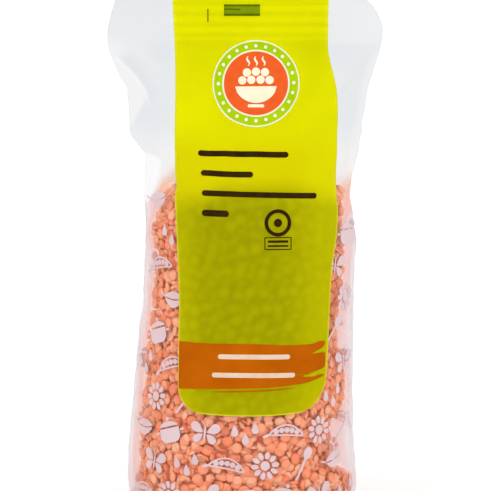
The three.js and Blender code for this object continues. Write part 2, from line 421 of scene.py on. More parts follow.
def grow(piece, tree, **values):
    """Runs a geometry tree on a piece and returns the result as a plain mesh."""
    modifier = piece.modifiers.new(tree.name, "NODES")
    modifier.node_group = tree
    for item in tree.interface.items_tree:
        if item.in_out == "INPUT" and item.name.replace(" ", "_") in values:
            modifier[item.identifier] = values[item.name.replace(" ", "_")]
    graph = bpy.context.evaluated_depsgraph_get()
    mesh = bpy.data.meshes.new_from_object(piece.evaluated_get(graph))
    piece.modifiers.remove(modifier)
    return mesh


def material_tree(name):
    material = bpy.data.materials.new(name)
    material.use_nodes = True
    tree = material.node_tree
    tree.nodes.clear()
    return material, tree


def srgb(red, green, blue):
    """A colour given as the eye reads it, from 0 to 255, as the shader's light values."""
    shares = [c / 255 for c in (red, green, blue)]
    return (*[c / 12.92 if c <= 0.04045 else ((c + 0.055) / 1.055) ** 2.4 for c in shares], 1)


def shown(red, green, blue):
    """The base colour that looks so in the studio's light."""
    return (*[c * INK_SHARE for c in srgb(red, green, blue)[:3]], 1)


def calc(tree, operation, *values):
    """A Math node's result."""
    inputs = {f"in_{i}": value for i, value in enumerate(values)}
    return node(tree, "ShaderNodeMath", {"operation": operation}, **inputs).outputs[0]


def colour_steps(tree, factor, steps):
    """A colour ramp of (place, colour) steps."""
    ramp = node(tree, "ShaderNodeValToRGB", Fac=factor)
    while len(ramp.color_ramp.elements) < len(steps):
        ramp.color_ramp.elements.new(0.5)
    for element, (place, colour) in zip(ramp.color_ramp.elements, steps):
        element.position = place
        element.color = colour
    return ramp.outputs["Color"]


def point_value(tree, name):
    """The number of this name that the mesh's points carry."""
    return node(tree, "ShaderNodeAttribute", {"attribute_name": name}).outputs["Fac"]


def noise(tree, scale, detail=2.0):
    """Noise through the piece, from 0 to 1."""
    place = node(tree, "ShaderNodeTexCoord").outputs["Object"]
    return node(tree, "ShaderNodeTexNoise", Vector=place, Scale=scale, Detail=detail).outputs["Fac"]


def grain(tree, scale, strength, distance):
    """A fine unevenness of the surface."""
    return node(tree, "ShaderNodeBump", Strength=strength, Distance=distance, Height=noise(tree, scale))


def surface_out(tree, shader):
    node(tree, "ShaderNodeOutputMaterial", Surface=shader)


def skin_out(tree, **inputs):
    """Ends a material in one opaque skin."""
    surface_out(tree, node(tree, "ShaderNodeBsdfPrincipled", **inputs))


# Materials

def clear_film():
    """Clear film, with a pale haze where it is slack or folded, which is strongest at a slant, pinked by
    painted lentil light.
    """
    material, tree = material_tree("clear_film")
    bump = grain(tree, 420.0, 0.25, 0.0004)
    tint = colour_steps(tree, point_value(tree, "clarity"), [
        (0, (0.845, 0.856, 0.882, 1)), (0.35, (0.872, 0.882, 0.892, 1)), (0.8, (0.925, 0.922, 0.922, 1)),
        (1, (0.962, 0.962, 0.965, 1)),
    ])
    # Haze made pinker by painted light from the lentils
    haze = colour_steps(tree, point_value(tree, "painted_lentil_glow"), [
        (0, (0.73, 0.75, 0.79, 1)), (0.35, (0.78, 0.66, 0.67, 1)), (0.7, (0.82, 0.44, 0.42, 1)),
        (1, (0.93, 0.43, 0.24, 1)),
    ])
    clear = node(tree, "ShaderNodeBsdfTransparent", Color=tint)
    skin = node(tree, "ShaderNodeBsdfPrincipled", Base_Color=haze, Roughness=0.35, Normal=bump)
    skin.inputs["Specular IOR Level"].default_value = 0.5
    facing = node(tree, "ShaderNodeLayerWeight", Blend=0.35, Normal=bump).outputs["Facing"]
    slant = calc(tree, "MULTIPLY", calc(tree, "POWER", facing, 2.2), 0.5)
    turned_away = node(tree, "ShaderNodeLayerWeight", Blend=0.5).outputs["Facing"]
    share = node(tree, "ShaderNodeMapRange", Value=turned_away, in_1=0.06, in_2=0.28, in_3=0.35, in_4=1.0)
    slack, haze_and_painted_glow = point_value(tree, "slack"), point_value(tree, "haze_and_painted_glow")
    gathered = calc(tree, "MULTIPLY_ADD", slack, share.outputs[0], haze_and_painted_glow)
    cover = calc(tree, "MINIMUM", calc(tree, "ADD", slant, gathered), 0.95)
    surface_out(tree, node(tree, "ShaderNodeMixShader", in_0=cover, in_1=clear, in_2=skin))
    return material


def lentil_skin():
    """Dry, salmon orange skin, each lentil with a tone of its own, the topmost palest by painted light."""
    material, tree = material_tree("lentil_skin")
    place = node(tree, "ShaderNodeTexCoord").outputs["Object"]
    height = node(tree, "ShaderNodeSeparateXYZ", Vector=place).outputs["Z"]
    # Painted light: lentils near the heap's top are made paler, to lift the shade that the labels cast there
    painted_top_light = node(tree, "ShaderNodeMapRange", Value=height, in_1=0.124, in_2=0.14, in_3=0.0, in_4=0.8)
    blotch = calc(tree, "SUBTRACT", noise(tree, 330.0, 3.0), 0.5)
    wander = calc(tree, "MULTIPLY_ADD", blotch, 0.5, point_value(tree, "tone"))
    colour = colour_steps(tree, calc(tree, "ADD", wander, painted_top_light.outputs[0]), [
        (0.0, srgb(236, 130, 94)), (0.25, srgb(243, 147, 109)), (0.6, srgb(247, 161, 123)),
        (0.85, srgb(249, 171, 135)), (1.0, srgb(251, 182, 149)),
    ])
    skin_out(
        tree, Base_Color=colour, Roughness=0.6, Normal=grain(tree, 1500.0, 0.3, 0.0002),
        Specular_IOR_Level=0.3, Subsurface_Weight=0.4, Subsurface_Radius=(1.0, 0.4, 0.25),
        Subsurface_Scale=0.001)
    return material


def deep_lentils():
    """The lentils too deep to be seen one by one."""
    material, tree = material_tree("deep_lentils")
    place = node(tree, "ShaderNodeTexCoord").outputs["Object"]
    away = node(tree, "ShaderNodeTexVoronoi", Vector=place, Scale=240.0).outputs["Distance"]
    # Darker towards each cell's edge: painted shade between the deep lentils
    colour = colour_steps(tree, away, [(0, srgb(250, 158, 120)), (0.8, srgb(244, 128, 90))])
    bump = node(tree, "ShaderNodeBump", {"invert": True}, Strength=1.0, Distance=0.001, Height=away)
    skin_out(tree, Base_Color=colour, Roughness=0.8, Normal=bump)
    return material


def label_print():
    """Yellow-green ink, pale at its cut edge, with painted warm light near the lentils and painted, mottled
    shade over them.
    """
    material, tree = material_tree("label_print")
    bright = colour_steps(tree, noise(tree, 45.0), [(0.3, shown(222, 221, 1)), (0.7, shown(230, 229, 1))])
    # Painted shade over the lentils, lighter where they touch the label, as light that comes back through it
    shaded_ink = colour_steps(tree, point_value(tree, "touch"), [
        (0.1, shown(160, 158, 1)), (0.5, shown(168, 166, 1)), (0.9, shown(178, 175, 3)),
    ])

    def mixed(name, first, second):
        share = point_value(tree, name)
        made = node(tree, "ShaderNodeMix", {"data_type": "RGBA"}, in_0=share, in_6=first, in_7=second)
        return made.outputs[2]

    # Painted warm light from the lentils, mixed in near them
    warm = mixed("near", bright, shown(220, 211, 1))
    edged = mixed("rim", mixed("painted_shade_over_lentils", warm, shaded_ink), shown(226, 224, 50))
    toned = node(tree, "ShaderNodeHueSaturation", Color=edged, Value=point_value(tree, "light"))
    skin_out(
        tree, Base_Color=toned, Roughness=0.5, Normal=grain(tree, 900.0, 0.15, 0.0002),
        Specular_IOR_Level=0.01, Subsurface_Weight=0.5, Subsurface_Radius=(1.0, 1.0, 0.2),
        Subsurface_Scale=0.001)
    return material


def ink(name, low, high, scale=300.0):
    """Printed ink whose colour wanders between two values."""
    material, tree = material_tree(name)
    colour = colour_steps(tree, noise(tree, scale, 3.0), [(0.3, shown(*low)), (0.7, shown(*high))])
    skin_out(
        tree, Base_Color=colour, Roughness=0.5, Normal=grain(tree, 900.0, 0.15, 0.0002),
        Specular_IOR_Level=0.01)
    return material


def pale_floor():
    material, tree = material_tree("pale_floor")
    skin_out(tree, Base_Color=(0.94, 0.94, 0.94, 1), Roughness=1.0)
    return material


# Lentils

def lentil_shape(name, thickness, wobble, flat_side=False, chip=1.0):
    """One lentil: a disc with rounded edges, or a split one; chip cuts off its outline at that share."""
    segments, bands = 12, 4
    flat_at = -0.12 * thickness
    points, faces = [(0, 0, thickness / 2)], []
    for band in range(1, bands):
        angle = math.pi * band / bands
        for s in range(segments):
            turn = 2 * math.pi * s / segments
            radius = LENTIL_ACROSS / 2 * math.sin(angle) ** 0.8
            radius *= 1 + wobble * math.cos(2 * turn) + wobble / 2 * math.cos(3 * turn + 1)
            height = thickness / 2 * math.copysign(abs(math.cos(angle)) ** 1.05, math.cos(angle))
            if abs(height) < 1e-6:
                height = 0
            if flat_side:
                height = max(height, flat_at)
            x = min(radius * math.cos(turn), chip * LENTIL_ACROSS / 2)
            points.append((x, radius * math.sin(turn), height))
    points.append((0, 0, flat_at if flat_side else -thickness / 2))
    last = len(points) - 1
    for s in range(segments):
        n = (s + 1) % segments
        faces.append((0, 1 + s, 1 + n))
        faces.append((last, last - segments + n, last - segments + s))
    faces += [tuple(reversed(f)) for f in lattice_faces(bands - 1, segments, 1, around=True)]
    return mesh_piece(name, points, faces)


def lentil_level(x, y):
    """Height of the lentils' uneven top."""
    return heap_line(x) + 1.2 * soft_noise(x + 90, y + 90, 14, 5)


def heap(name, inset):
    """A closed body this far inside the film: the lentils as a whole, which leave the film's edges slack."""
    columns, rows, rings = 90, 62, 10
    drop = inset * 0.6
    turn = -np.cos(np.pi * np.arange(columns + 1) / columns)
    rounded = np.sqrt(1 - np.abs(turn) ** 8)
    layers = []
    for r, z in enumerate(np.linspace(inset + 0.4, LEVEL - drop, rows)):
        left = inset + left_slack(z) - left_reach(z)
        right = right_reach(z) - right_slack(z) - inset
        x = (left + right) / 2 + turn * (right - left) / 2
        level = z + (lentil_level(x, 0) - LEVEL) * (r / (rows - 1)) ** 4
        depth = np.maximum(film_depth(x, level) - inset, 0.5) * rounded
        front = np.stack([x, middle_depth(x, level) - depth, level], -1)
        back = np.stack([x, middle_depth(x, level) + depth, level], -1)
        layers.append(np.concatenate([front[:-1], back[:0:-1]]))
    rim, foot = layers[-1], layers[0]
    for k in range(1, rings):
        share = k / rings
        ring = rim + (rim.mean(0) - rim) * share
        ring[:, 2] = rim[:, 2] * (1 - share) + (lentil_level(ring[:, 0], ring[:, 1]) - drop) * share
        layers.append(ring)
    low = [foot + (foot.mean(0) - foot) * k / rings for k in range(rings - 1, 0, -1)]
    around = 2 * columns
    lattice = np.concatenate(low + layers)
    faces = lattice_faces(len(lattice) // around, around, around=True)
    top_centre, foot_centre = len(lattice), len(lattice) + 1
    start = len(lattice) - around
    faces += [(start + i, start + (i + 1) % around, top_centre) for i in range(around)]
    faces += [((i + 1) % around, i, foot_centre) for i in range(around)]
    return mesh_piece(name, np.concatenate([lattice, [layers[-1].mean(0), foot.mean(0)]]), faces)


def lentil_tree():
    """Scatters lentils just under a heap's surface, most of them flat against it, each with its own tone."""
    tree, value = geometry_tree("scatter_lentils", {
        "Grains": "Collection", "Kinds": "Int", "Spacing": "Float", "Radius": "Float", "Thickness": "Float",
        "Tilt": "Float", "Flatness": "Float", "Sink": "Float", "Paleness": "Float", "Seed": "Int",
        "Material": "Material",
    })
    density = calc(tree, "DIVIDE", 4.0, calc(tree, "MULTIPLY", value["Spacing"], value["Spacing"]))
    scatter = node(
        tree, "GeometryNodeDistributePointsOnFaces", {"distribute_method": "POISSON"},
        Mesh=value["Geometry"], Distance_Min=value["Spacing"], Density_Max=density, Seed=value["Seed"])

    def chance(low, high, turn):
        seed = calc(tree, "ADD", value["Seed"], float(turn))
        drawn = node(tree, "FunctionNodeRandomValue", {"data_type": "FLOAT"}, in_2=low, in_3=high, Seed=seed)
        return drawn.outputs[1]

    def spun(rotation, axis, angle):
        euler = node(tree, "ShaderNodeCombineXYZ", **{axis: angle})
        turn = node(tree, "FunctionNodeEulerToRotation", Euler=euler)
        own = {"rotation_space": "LOCAL"}
        return node(tree, "FunctionNodeRotateRotation", own, Rotation=rotation, Rotate_By=turn)

    lean = calc(tree, "MULTIPLY", calc(tree, "POWER", chance(0, 1, 3), value["Flatness"]), value["Tilt"])
    rim = calc(tree, "MULTIPLY", calc(tree, "SINE", lean), value["Radius"])
    body = calc(tree, "MULTIPLY", calc(tree, "COSINE", lean), value["Thickness"])
    sunk = calc(tree, "MULTIPLY_ADD", chance(0, 1, 1), value["Sink"], calc(tree, "ADD", rim, body))
    out, back_in = scatter.outputs["Normal"], calc(tree, "MULTIPLY", sunk, -1.0)
    inward = node(tree, "ShaderNodeVectorMath", {"operation": "SCALE"}, in_0=out, Scale=back_in)
    placed = node(tree, "GeometryNodeSetPosition", Geometry=scatter.outputs["Points"], Offset=inward)
    rotation = spun(spun(scatter.outputs["Rotation"], "Z", chance(0, 2 * math.pi, 2)), "X", lean)
    across, deep, thick = chance(0.93, 1.07, 4), chance(0.93, 1.07, 5), chance(0.85, 1.1, 6)
    size = node(tree, "ShaderNodeCombineXYZ", X=across, Y=deep, Z=thick)
    shapes = node(tree, "GeometryNodeCollectionInfo", Collection=value["Grains"], Separate_Children=True)
    kind = calc(tree, "FLOOR", calc(tree, "MULTIPLY", chance(0, 0.999, 7), value["Kinds"]))
    grains = node(
        tree, "GeometryNodeInstanceOnPoints", Points=placed, Instance=shapes, Rotation=rotation, Scale=size,
        Instance_Index=kind, Pick_Instance=True)
    # Paleness lifts the tone of deeper layers: painted light in the gaps between the outer lentils
    tone = calc(tree, "ADD", chance(0, 1, 8), value["Paleness"])
    toned = node(
        tree, "GeometryNodeStoreNamedAttribute", {"data_type": "FLOAT", "domain": "INSTANCE"},
        Geometry=grains, Name="tone", Value=tone)
    real = node(tree, "GeometryNodeRealizeInstances", Geometry=toned)
    done = node(tree, "GeometryNodeSetMaterial", Geometry=real, Material=value["Material"])
    node(tree, "NodeGroupOutput", Geometry=done)
    return tree


def collection_of(name, pieces):
    """A collection that is in no scene, for a geometry tree to pick from."""
    made = bpy.data.collections.new(name)
    for piece in pieces:
        bpy.context.scene.collection.objects.unlink(piece)
        made.objects.link(piece)
    return made


def make_lentils():
    """Three layers of lentils, flattest outside and leaning more inside, and what they lie on."""
    shapes = [
        lentil_shape("grain_a", LENTIL_THICK, 0.01),
        lentil_shape("grain_b", LENTIL_THICK * 1.1, 0.03),
        lentil_shape("grain_c", LENTIL_THICK * 0.9, 0.02),
        lentil_shape("grain_d", LENTIL_THICK, 0.02, flat_side=True),
        lentil_shape("grain_e", LENTIL_THICK, 0.02, chip=0.72),
    ]
    grains = collection_of("grains", shapes)
    tree = lentil_tree()
    skin = lentil_skin()
    made = []
    # Deeper layers get paler tones: painted light for the gaps where they lie in shade
    for name, inset, spacing, tilt, flatness, sink, painted_gap_light, seed in [
        ("lentils_outer", CLEARANCE, 4.0, 1.4, 1.5, 0.3, 0.0, 3),
        ("lentils_middle", CLEARANCE + 0.6, 3.45, 1.5, 1.0, 0.6, 0.3, 21),
        ("lentils_inner", CLEARANCE + 2.1, 3.45, 1.5, 0.9, 0.8, 0.5, 40),
    ]:
        ground = heap(name + "_ground", inset)
        mesh = grow(
            ground, tree, Grains=grains, Kinds=len(shapes), Spacing=spacing * MM,
            Radius=LENTIL_ACROSS / 2 * MM, Thickness=LENTIL_THICK / 2 * MM, Tilt=tilt, Flatness=flatness,
            Sink=sink * MM, Paleness=painted_gap_light, Seed=seed, Material=skin)
        bpy.data.objects.remove(ground)
        made.append(object_of(name, mesh))
    for shape in shapes:
        bpy.data.objects.remove(shape)
    core = heap("lentils_core", CORE_INSET)
    core.data.materials.append(deep_lentils())
    return made + [core]


def box_blur(table, reach):
    """Averages a table over a square that reaches this many entries each way."""
    width = 2 * reach + 1
    for axis in (0, 1):
        edges = [(reach + 1, reach) if a == axis else (0, 0) for a in (0, 1)]
        total = np.cumsum(np.pad(table, edges, "edge"), axis)
        count = total.shape[axis]
        past, before = range(width, count), range(count - width)
        table = (np.take(total, past, axis) - np.take(total, before, axis)) / width
    return table


def lay_film_on(lentils):
    """Measures the gap from the smooth film to the lentils and lets the film sag into it."""
    deepest, most = 3.0, 1.4
    found = [BVHTree.FromObject(piece, bpy.context.evaluated_depsgraph_get()) for piece in lentils]
    gaps = {}
    for side in (FRONT, BACK):
        gap = np.full((len(table_heights), len(table_alongs)), deepest)
        for r in np.nonzero(table_heights < FILL_HEIGHT + 4)[0]:
            z = table_heights[r]
            left, right = crease_ends(side, z)
            inside = np.nonzero((table_alongs > left + 1) & (table_alongs < right - 1))[0]
            starts = smooth_point(side, table_alongs[inside], z) * MM
            ways = -film_normal(side, table_alongs[inside], np.full(len(inside), z))
            for c, start, way in zip(inside, starts, ways):
                hits = [tree.ray_cast(Vector(start), Vector(way), deepest * MM)[3] for tree in found]
                gap[r, c] = min([hit / MM for hit in hits if hit is not None], default=deepest)
        gaps[side] = gap
        filled = 1 - smoothstep(table_heights, FILL_HEIGHT - 18, FILL_HEIGHT - 4)
        sag[side][:] = -0.45 * box_blur(np.minimum(gap, most), 2) * filled[:, None]
        soft_sag[side][:] = 0.5 * box_blur(sag[side], 3)
    return gaps


# Film

def film_rows():
    filled = np.arange(0.8, FILL_HEIGHT, 0.85)
    neck = np.linspace(FILL_HEIGHT, SEAL_FOOT, 62)
    seal = np.linspace(SEAL_FOOT, BAG_HEIGHT, 41)[1:]
    return np.concatenate([[0, 0.3], filled, neck, seal])


def make_film(material):
    """The whole film as one closed skin, hollow under its base."""
    columns, rings, hollow = 146, 14, 0.9
    shares = np.arange(columns + 1) / columns
    rows = []
    values_of = {"painted_lentil_glow": [], "haze_and_painted_glow": [], "slack": [], "clarity": []}
    for z in film_rows():
        loop, marks = [], []
        for side in (FRONT, BACK):
            left, right = crease_ends(side, z)
            along = left + (right - left) * shares
            level = np.full(columns + 1, z)
            loop.append(film_point(side, along, level))
            marks.append(film_marks(side, along, level))
        crease_left = (loop[0][0] + loop[1][0]) / 2
        crease_right = (loop[0][-1] + loop[1][-1]) / 2
        rows.append(np.concatenate([[crease_left], loop[0][1:-1], [crease_right], loop[1][-2:0:-1]]))
        for k, values in enumerate(values_of.values()):
            values.append(np.concatenate([marks[0][k], marks[1][k][-2:0:-1]]))
    around = 2 * columns
    foot = rows[0]
    under = []
    for k in range(rings - 1, 0, -1):
        ring = foot + (foot.mean(0) - foot) * k / rings
        ring[:, 2] = hollow * smoothstep(k / rings, 0.15, 0.45)
        under.append(ring)
    middle = foot.mean(0)
    middle[2] = hollow
    lattice = np.concatenate(under + rows + [[middle]])
    lattice[:, 2] = np.clip(lattice[:, 2], 0, BAG_HEIGHT)
    layers = len(under) + len(rows)
    faces = lattice_faces(layers, around, around=True)
    faces += [((i + 1) % around, i, layers * around) for i in range(around)]
    top = (layers - 1) * around
    faces.append((top, top + 1, top + around - 1))
    faces += [(top + i, top + i + 1, top + around - i - 1, top + around - i) for i in range(1, columns - 1)]
    faces.append((top + columns - 1, top + columns, top + columns + 1))
    film = mesh_piece("film", lattice, faces, material)
    for name, values in values_of.items():
        base = np.full(around * len(under), values[0].mean())
        point_values(film, name, np.concatenate([base, *values, [values[0].mean()]]))
    return film


def spot(u, v, place, reach):
    """A soft round patch, 1 at its place and falling off over its reach each way."""
    return np.exp(-(((u - place[0]) / reach[0]) ** 2) - ((v - place[1]) / reach[1]) ** 2)


def film_marks(side, along, z):
    """How much painted pink lentil light the haze has, how strong it is all over, with painted glow and
    highlights, and in the slack edges, and how clear the film is.
    """
    x = look_up(unrolled[side][0], along, z)
    width = np.where(x < 0, left_slack(z), right_slack(z))
    edge = np.where(x < 0, left_reach(z) + x, right_reach(z) - x)
    past = width - edge
    level = lentil_level(x, 0)
    over = 1 - smoothstep(z, level - 3, level + 3)
    glow = 1 - smoothstep(z, level - 4, level + 7)
    corner = smoothstep(left_corner(z) - x, -0.5, 1.5)
    corner = corner * smoothstep(z, 126, 136) * (1 - smoothstep(z, 151, 155))

    inner = 0.25 * smoothstep(past, -4, 0) + 0.58 * smoothstep(past, -0.5, width)
    inner = inner * (1 - 0.8 * (x > 0) * smoothstep(z, 124, 131))
    # Painted pink light from the lentils on the film that lies over and just above them
    painted_lentil_glow = (1 - smoothstep(z, level + 7, level + 16)) * (1 - inner * over) * (1 - 0.8 * corner)
    streaks = 0.82 + 0.18 * soft_noise(along * 1.5, z * 0.3, 5, 71 + side)
    slack = 0.42 * smoothstep(past, -4, 0.5) * streaks + 0.08 * smoothstep(past, -1, 0.6 * width)
    slack = slack * over * (1 - 0.95 * corner)

    brow = smoothstep(-x, 26, 32) * np.exp(-(((z - level + 2) / 6) ** 2)) * smoothstep(edge, 4, 8)
    # Real haze over the lentils, with a painted glow about and just above their top
    haze_and_painted_glow = (0.08 * over + 0.4 * glow * (1 - over) + 0.3 * brow) * (1 - 0.95 * corner)
    crimp = 0.5 + 0.5 * np.sin(2 * np.pi * RIBS * (z - SEAL_FOOT) / SEAL_HEIGHT)
    haze_and_painted_glow = haze_and_painted_glow + 0.06 * crimp * smoothstep(z, SEAL_FOOT - 1, SEAL_FOOT + 1)
    haze_and_painted_glow = haze_and_painted_glow + 0.3 * seam_flap(side, along, z) / SEAM_HEIGHT
    # Painted highlights along the narrow raised folds
    for line, wide, high in FOLDS[side]:
        if wide < 3 and high > 0:
            away = distance_to_line(along, z, line)
            haze_and_painted_glow = haze_and_painted_glow + 0.18 * high * np.exp(-((away / (0.35 * wide)) ** 2))

    neck = smoothstep(z, 138, 146)
    clarity = 1 - 0.2 * neck - 0.45 * smoothstep(z, 144, 168) + 0.1 * neck * soft_noise(x, z, 13, 81)
    # On the right, painted shade below the fold at the seal's foot, lighter above it
    clarity = clarity + (x > 0) * (0.22 * smoothstep(z, 196, 199) - 0.05 * neck)
    # Painted shadow beside the left crease, and a darker spot
    shade = distance_to_line(x, z, [(-49, 190), (-44, 184), (-40, 177)])
    clarity = clarity - 0.3 * np.exp(-((shade / 3) ** 2)) - 0.2 * spot(x, z, (-35, 194), (5, 5))
    lobe = smoothstep(left_lobe(z) - x, -0.4, 1.2) * smoothstep(z, 158, 163) * (1 - smoothstep(z, 192, 197))
    # Painted highlight along the left crease
    crease_highlight = np.exp(-(((x - left_lobe(z)) / 0.9) ** 2))
    crease_highlight = crease_highlight * smoothstep(z, 172, 177) * (1 - smoothstep(z, 190, 195))
    corner_top = 0.6 * spot(x, z, (-56, 195), (6, 4))
    rim = (1 - smoothstep(edge, 1, 5)) * neck * (1 - smoothstep(z, 188, 200)) * (x > 0)
    clear = np.max([0.65 * lobe, 0.45 * rim, corner, corner_top, 0.9 * crease_highlight], axis=0)
    return painted_lentil_glow, haze_and_painted_glow, slack, np.clip(clarity + (1 - clarity) * clear, 0, 1)


# Label

def make_label(material, gaps):
    """The label, from its foot on the front over the bag's top to its foot on the back."""
    columns = 70
    arch = 0.0022  # of the front foot, whose middle is lowest
    shares = np.linspace(0, 1, columns + 1)
    points = []
    values_of = {"painted_shade_over_lentils": [], "touch": [], "rim": [], "near": [], "light": []}

    def rows_of(side):
        foot = LABEL_FOOT[side]
        tall = max(LABEL_CORNERS)
        corner = foot + tall * (1 - np.cos(np.linspace(0, np.pi / 2, 18)))
        body = np.arange(foot + tall + 1, SEAL_FOOT, 1.0)
        seal = np.linspace(SEAL_FOOT, BAG_HEIGHT, 41)
        return [(side, foot, z) for z in np.concatenate([corner, body, seal])]

    close = {}
    for side in (FRONT, BACK):
        # How close the lentils lie behind the label, for the painted light that comes back through it where
        # they touch
        near = np.clip((2.9 - gaps[side]) / 2, 0, 1)
        close[side] = 0.45 + 0.75 * (box_blur(near, 1) - box_blur(near, 9))
    for side, foot, z in rows_of(FRONT) + rows_of(BACK)[::-1]:
        left, right = label_edges(side, z)
        along = left + (right - left) * shares
        raised = arch * (along - 2) ** 2 * (1 - smoothstep(z, foot, foot + 40)) * (side == FRONT)
        level = z + raised
        row = label_point(side, along, level)
        if z == BAG_HEIGHT:
            row = row + [0, 0, LABEL_LIFT]
        points.append(row)
        # Painted shade: the ink is darkened from just below the lentils' top, where no light comes through
        # the label from behind, and less so at the sides, which stand off
        line = LEVEL + 3.5 + soft_noise(along, level, 9, 61) - 3.5 * ((along - 3) / 30) ** 2
        line = line - 2.5 * smoothstep(-along, 8, 18)
        fade = 1 - smoothstep(level, line - 5, line + 8)
        sides = 1 - 0.34 * smoothstep(along, 10, 34) - 0.28 * smoothstep(-along, 14, 28)
        sides = sides - 0.12 * (1 - smoothstep(level, 50, 62))
        values_of["painted_shade_over_lentils"].append(fade * sides)
        values_of["touch"].append(look_up(close[side], along, level))
        edge = np.minimum(np.minimum(along - left, right - along), max(z - foot, 0))
        values_of["rim"].append(1 - smoothstep(edge, 0.2, 0.6))
        # Painted warm light from the lentils, fading above them and towards the right
        values_of["near"].append((1 - smoothstep(level, 150, 163)) * (1 - 0.45 * smoothstep(along, 18, 34)))
        # Painted light on the crimped band, against the shade of its ribs, and painted shade at the front's
        # upper right
        seal_painted_light = 0.09 * smoothstep(level, SEAL_FOOT - 1, SEAL_FOOT + 1)
        hollow = spot(along, level, (31, 193), (10, 9)) * (side == FRONT)
        values_of["light"].append(1 + seal_painted_light - 0.1 * hollow)
    lattice = np.concatenate(points)
    label = mesh_piece("label_strip", lattice, lattice_faces(len(points), columns + 1), material)
    for name, values in values_of.items():
        point_values(label, name, np.concatenate(values))
    thicken = label.modifiers.new("thickness", "SOLIDIFY")
    thicken.thickness = LABEL_THICKNESS * MM
    thicken.offset = -1
    return label


# Flat shapes for the print, as points (right, up) in millimetres and faces

def points_of(x, y):
    """Points from their x and y, either of which may be one number."""
    return np.stack(np.broadcast_arrays(x, y), -1)


def patch(low, high):
    """A lattice between two lines of points."""
    low, high = np.asarray(low, float), np.asarray(high, float)
    across = max(1, math.ceil(np.linalg.norm(high - low, axis=1).max() / PRINT_STEP))
    shares = np.linspace(0, 1, across + 1)[None, :, None]
    points = low[:, None] * (1 - shares) + high[:, None] * shares
    return points.reshape(-1, 2), lattice_faces(len(low), across + 1)


def between(x, low, high):
    """What lies between two heights over a row of x."""
    return patch(points_of(x, low), points_of(x, high))


def ribbon(line, half):
    """A band along a line of points, with half its width at each of them."""
    line = np.asarray(line, float)
    way = np.gradient(line, axis=0)
    way /= np.linalg.norm(way, axis=1, keepdims=True)
    out = np.stack([-way[:, 1], way[:, 0]], -1) * np.broadcast_to(half, len(line))[:, None]
    return patch(line - out, line + out)


def leaf(start, end, width, bend=0.0, ends=(0.5, 0.5)):
    """A shape from one point to another: an ellipse, or with ends of 1 a pointed leaf."""
    start, end = np.asarray(start, float), np.asarray(end, float)
    reach = np.linalg.norm(end - start)
    steps = max(7, math.ceil(reach / PRINT_STEP) + 2)
    t = (1 - np.cos(np.pi * np.arange(steps + 1) / steps)) / 2
    side = np.array([start[1] - end[1], end[0] - start[0]]) / reach
    line = start + (end - start) * t[:, None] + side * (4 * bend * t * (1 - t))[:, None]
    p, q = ends
    widest = p**p * q**q / (p + q) ** (p + q)
    return ribbon(line, width / 2 * t**p * (1 - t) ** q / widest)


def turned_to(radius, turn):
    """The point at this distance from the origin, at this turn."""
    return radius * math.cos(turn), radius * math.sin(turn)


def disc(x, y, radius):
    return leaf((x - radius, y), (x + radius, y), 2 * radius)


def ring(x, y, radius, width):
    turn = np.linspace(0, 2 * np.pi, max(20, math.ceil(2 * np.pi * radius / PRINT_STEP)) + 1)
    circle = points_of(x + radius * np.cos(turn), y + radius * np.sin(turn))
    inner = circle + (np.array([x, y]) - circle) * width / radius
    return patch(inner, circle)


def bar(x0, x1, y, thick, slope=0.0):
    """A straight line with round ends; slope is how much it falls to the right."""
    radius = thick / 2
    ends = radius * (1 - np.cos(np.linspace(0, np.pi / 2, 5)))
    middle = np.arange(x0 + radius + 0.5, x1 - radius - 0.2, PRINT_STEP)
    x = np.concatenate([x0 + ends, middle, (x1 - ends)[::-1]])
    away = np.clip(radius - np.minimum(x - x0, x1 - x), 0, radius)
    return ribbon(points_of(x, y - slope * (x - x0)), np.sqrt(radius**2 - away**2))


def strip(x0, y0, x1, y1, thick):
    """A straight strip with square ends."""
    steps = math.ceil(math.hypot(x1 - x0, y1 - y0) / PRINT_STEP) + 1
    return ribbon(np.linspace((x0, y0), (x1, y1), steps + 1), thick / 2)


def turned(shapes, degrees, move=(0, 0)):
    """Flat shapes turned about the origin and then moved."""
    angle = math.radians(degrees)
    matrix = np.array([[math.cos(angle), math.sin(angle)], [-math.sin(angle), math.cos(angle)]])
    return [(points @ matrix + move, faces) for points, faces in shapes]


def joined(shapes):
    """Several flat shapes as one."""
    points, faces = [], []
    for more, rings in shapes:
        start = sum(map(len, points))
        faces += [[i + start for i in face] for face in rings]
        points.append(more)
    return np.concatenate(points), faces


def facing_out(points, faces, side):
    """Turns each face of a flat print so that it looks out of the bag."""
    turned_faces = []
    for face in faces:
        a, b, c, d = points[face[0]], points[face[1]], points[face[2]], points[face[-1]]
        area = (c[0] - a[0]) * (d[1] - b[1]) - (c[1] - a[1]) * (d[0] - b[0])
        turned_faces.append(face if area * -side > 0 else face[::-1])
    return turned_faces


def print_on(surface, side, name, shapes, material, layer):
    """Lays flat shapes on the label or the film, in a layer of ink."""
    points, faces = joined(shapes)
    laid = surface(side, *points.T, layer * INK_LIFT)
    return mesh_piece(name, laid, facing_out(points, faces, side), material)


# Print on the label

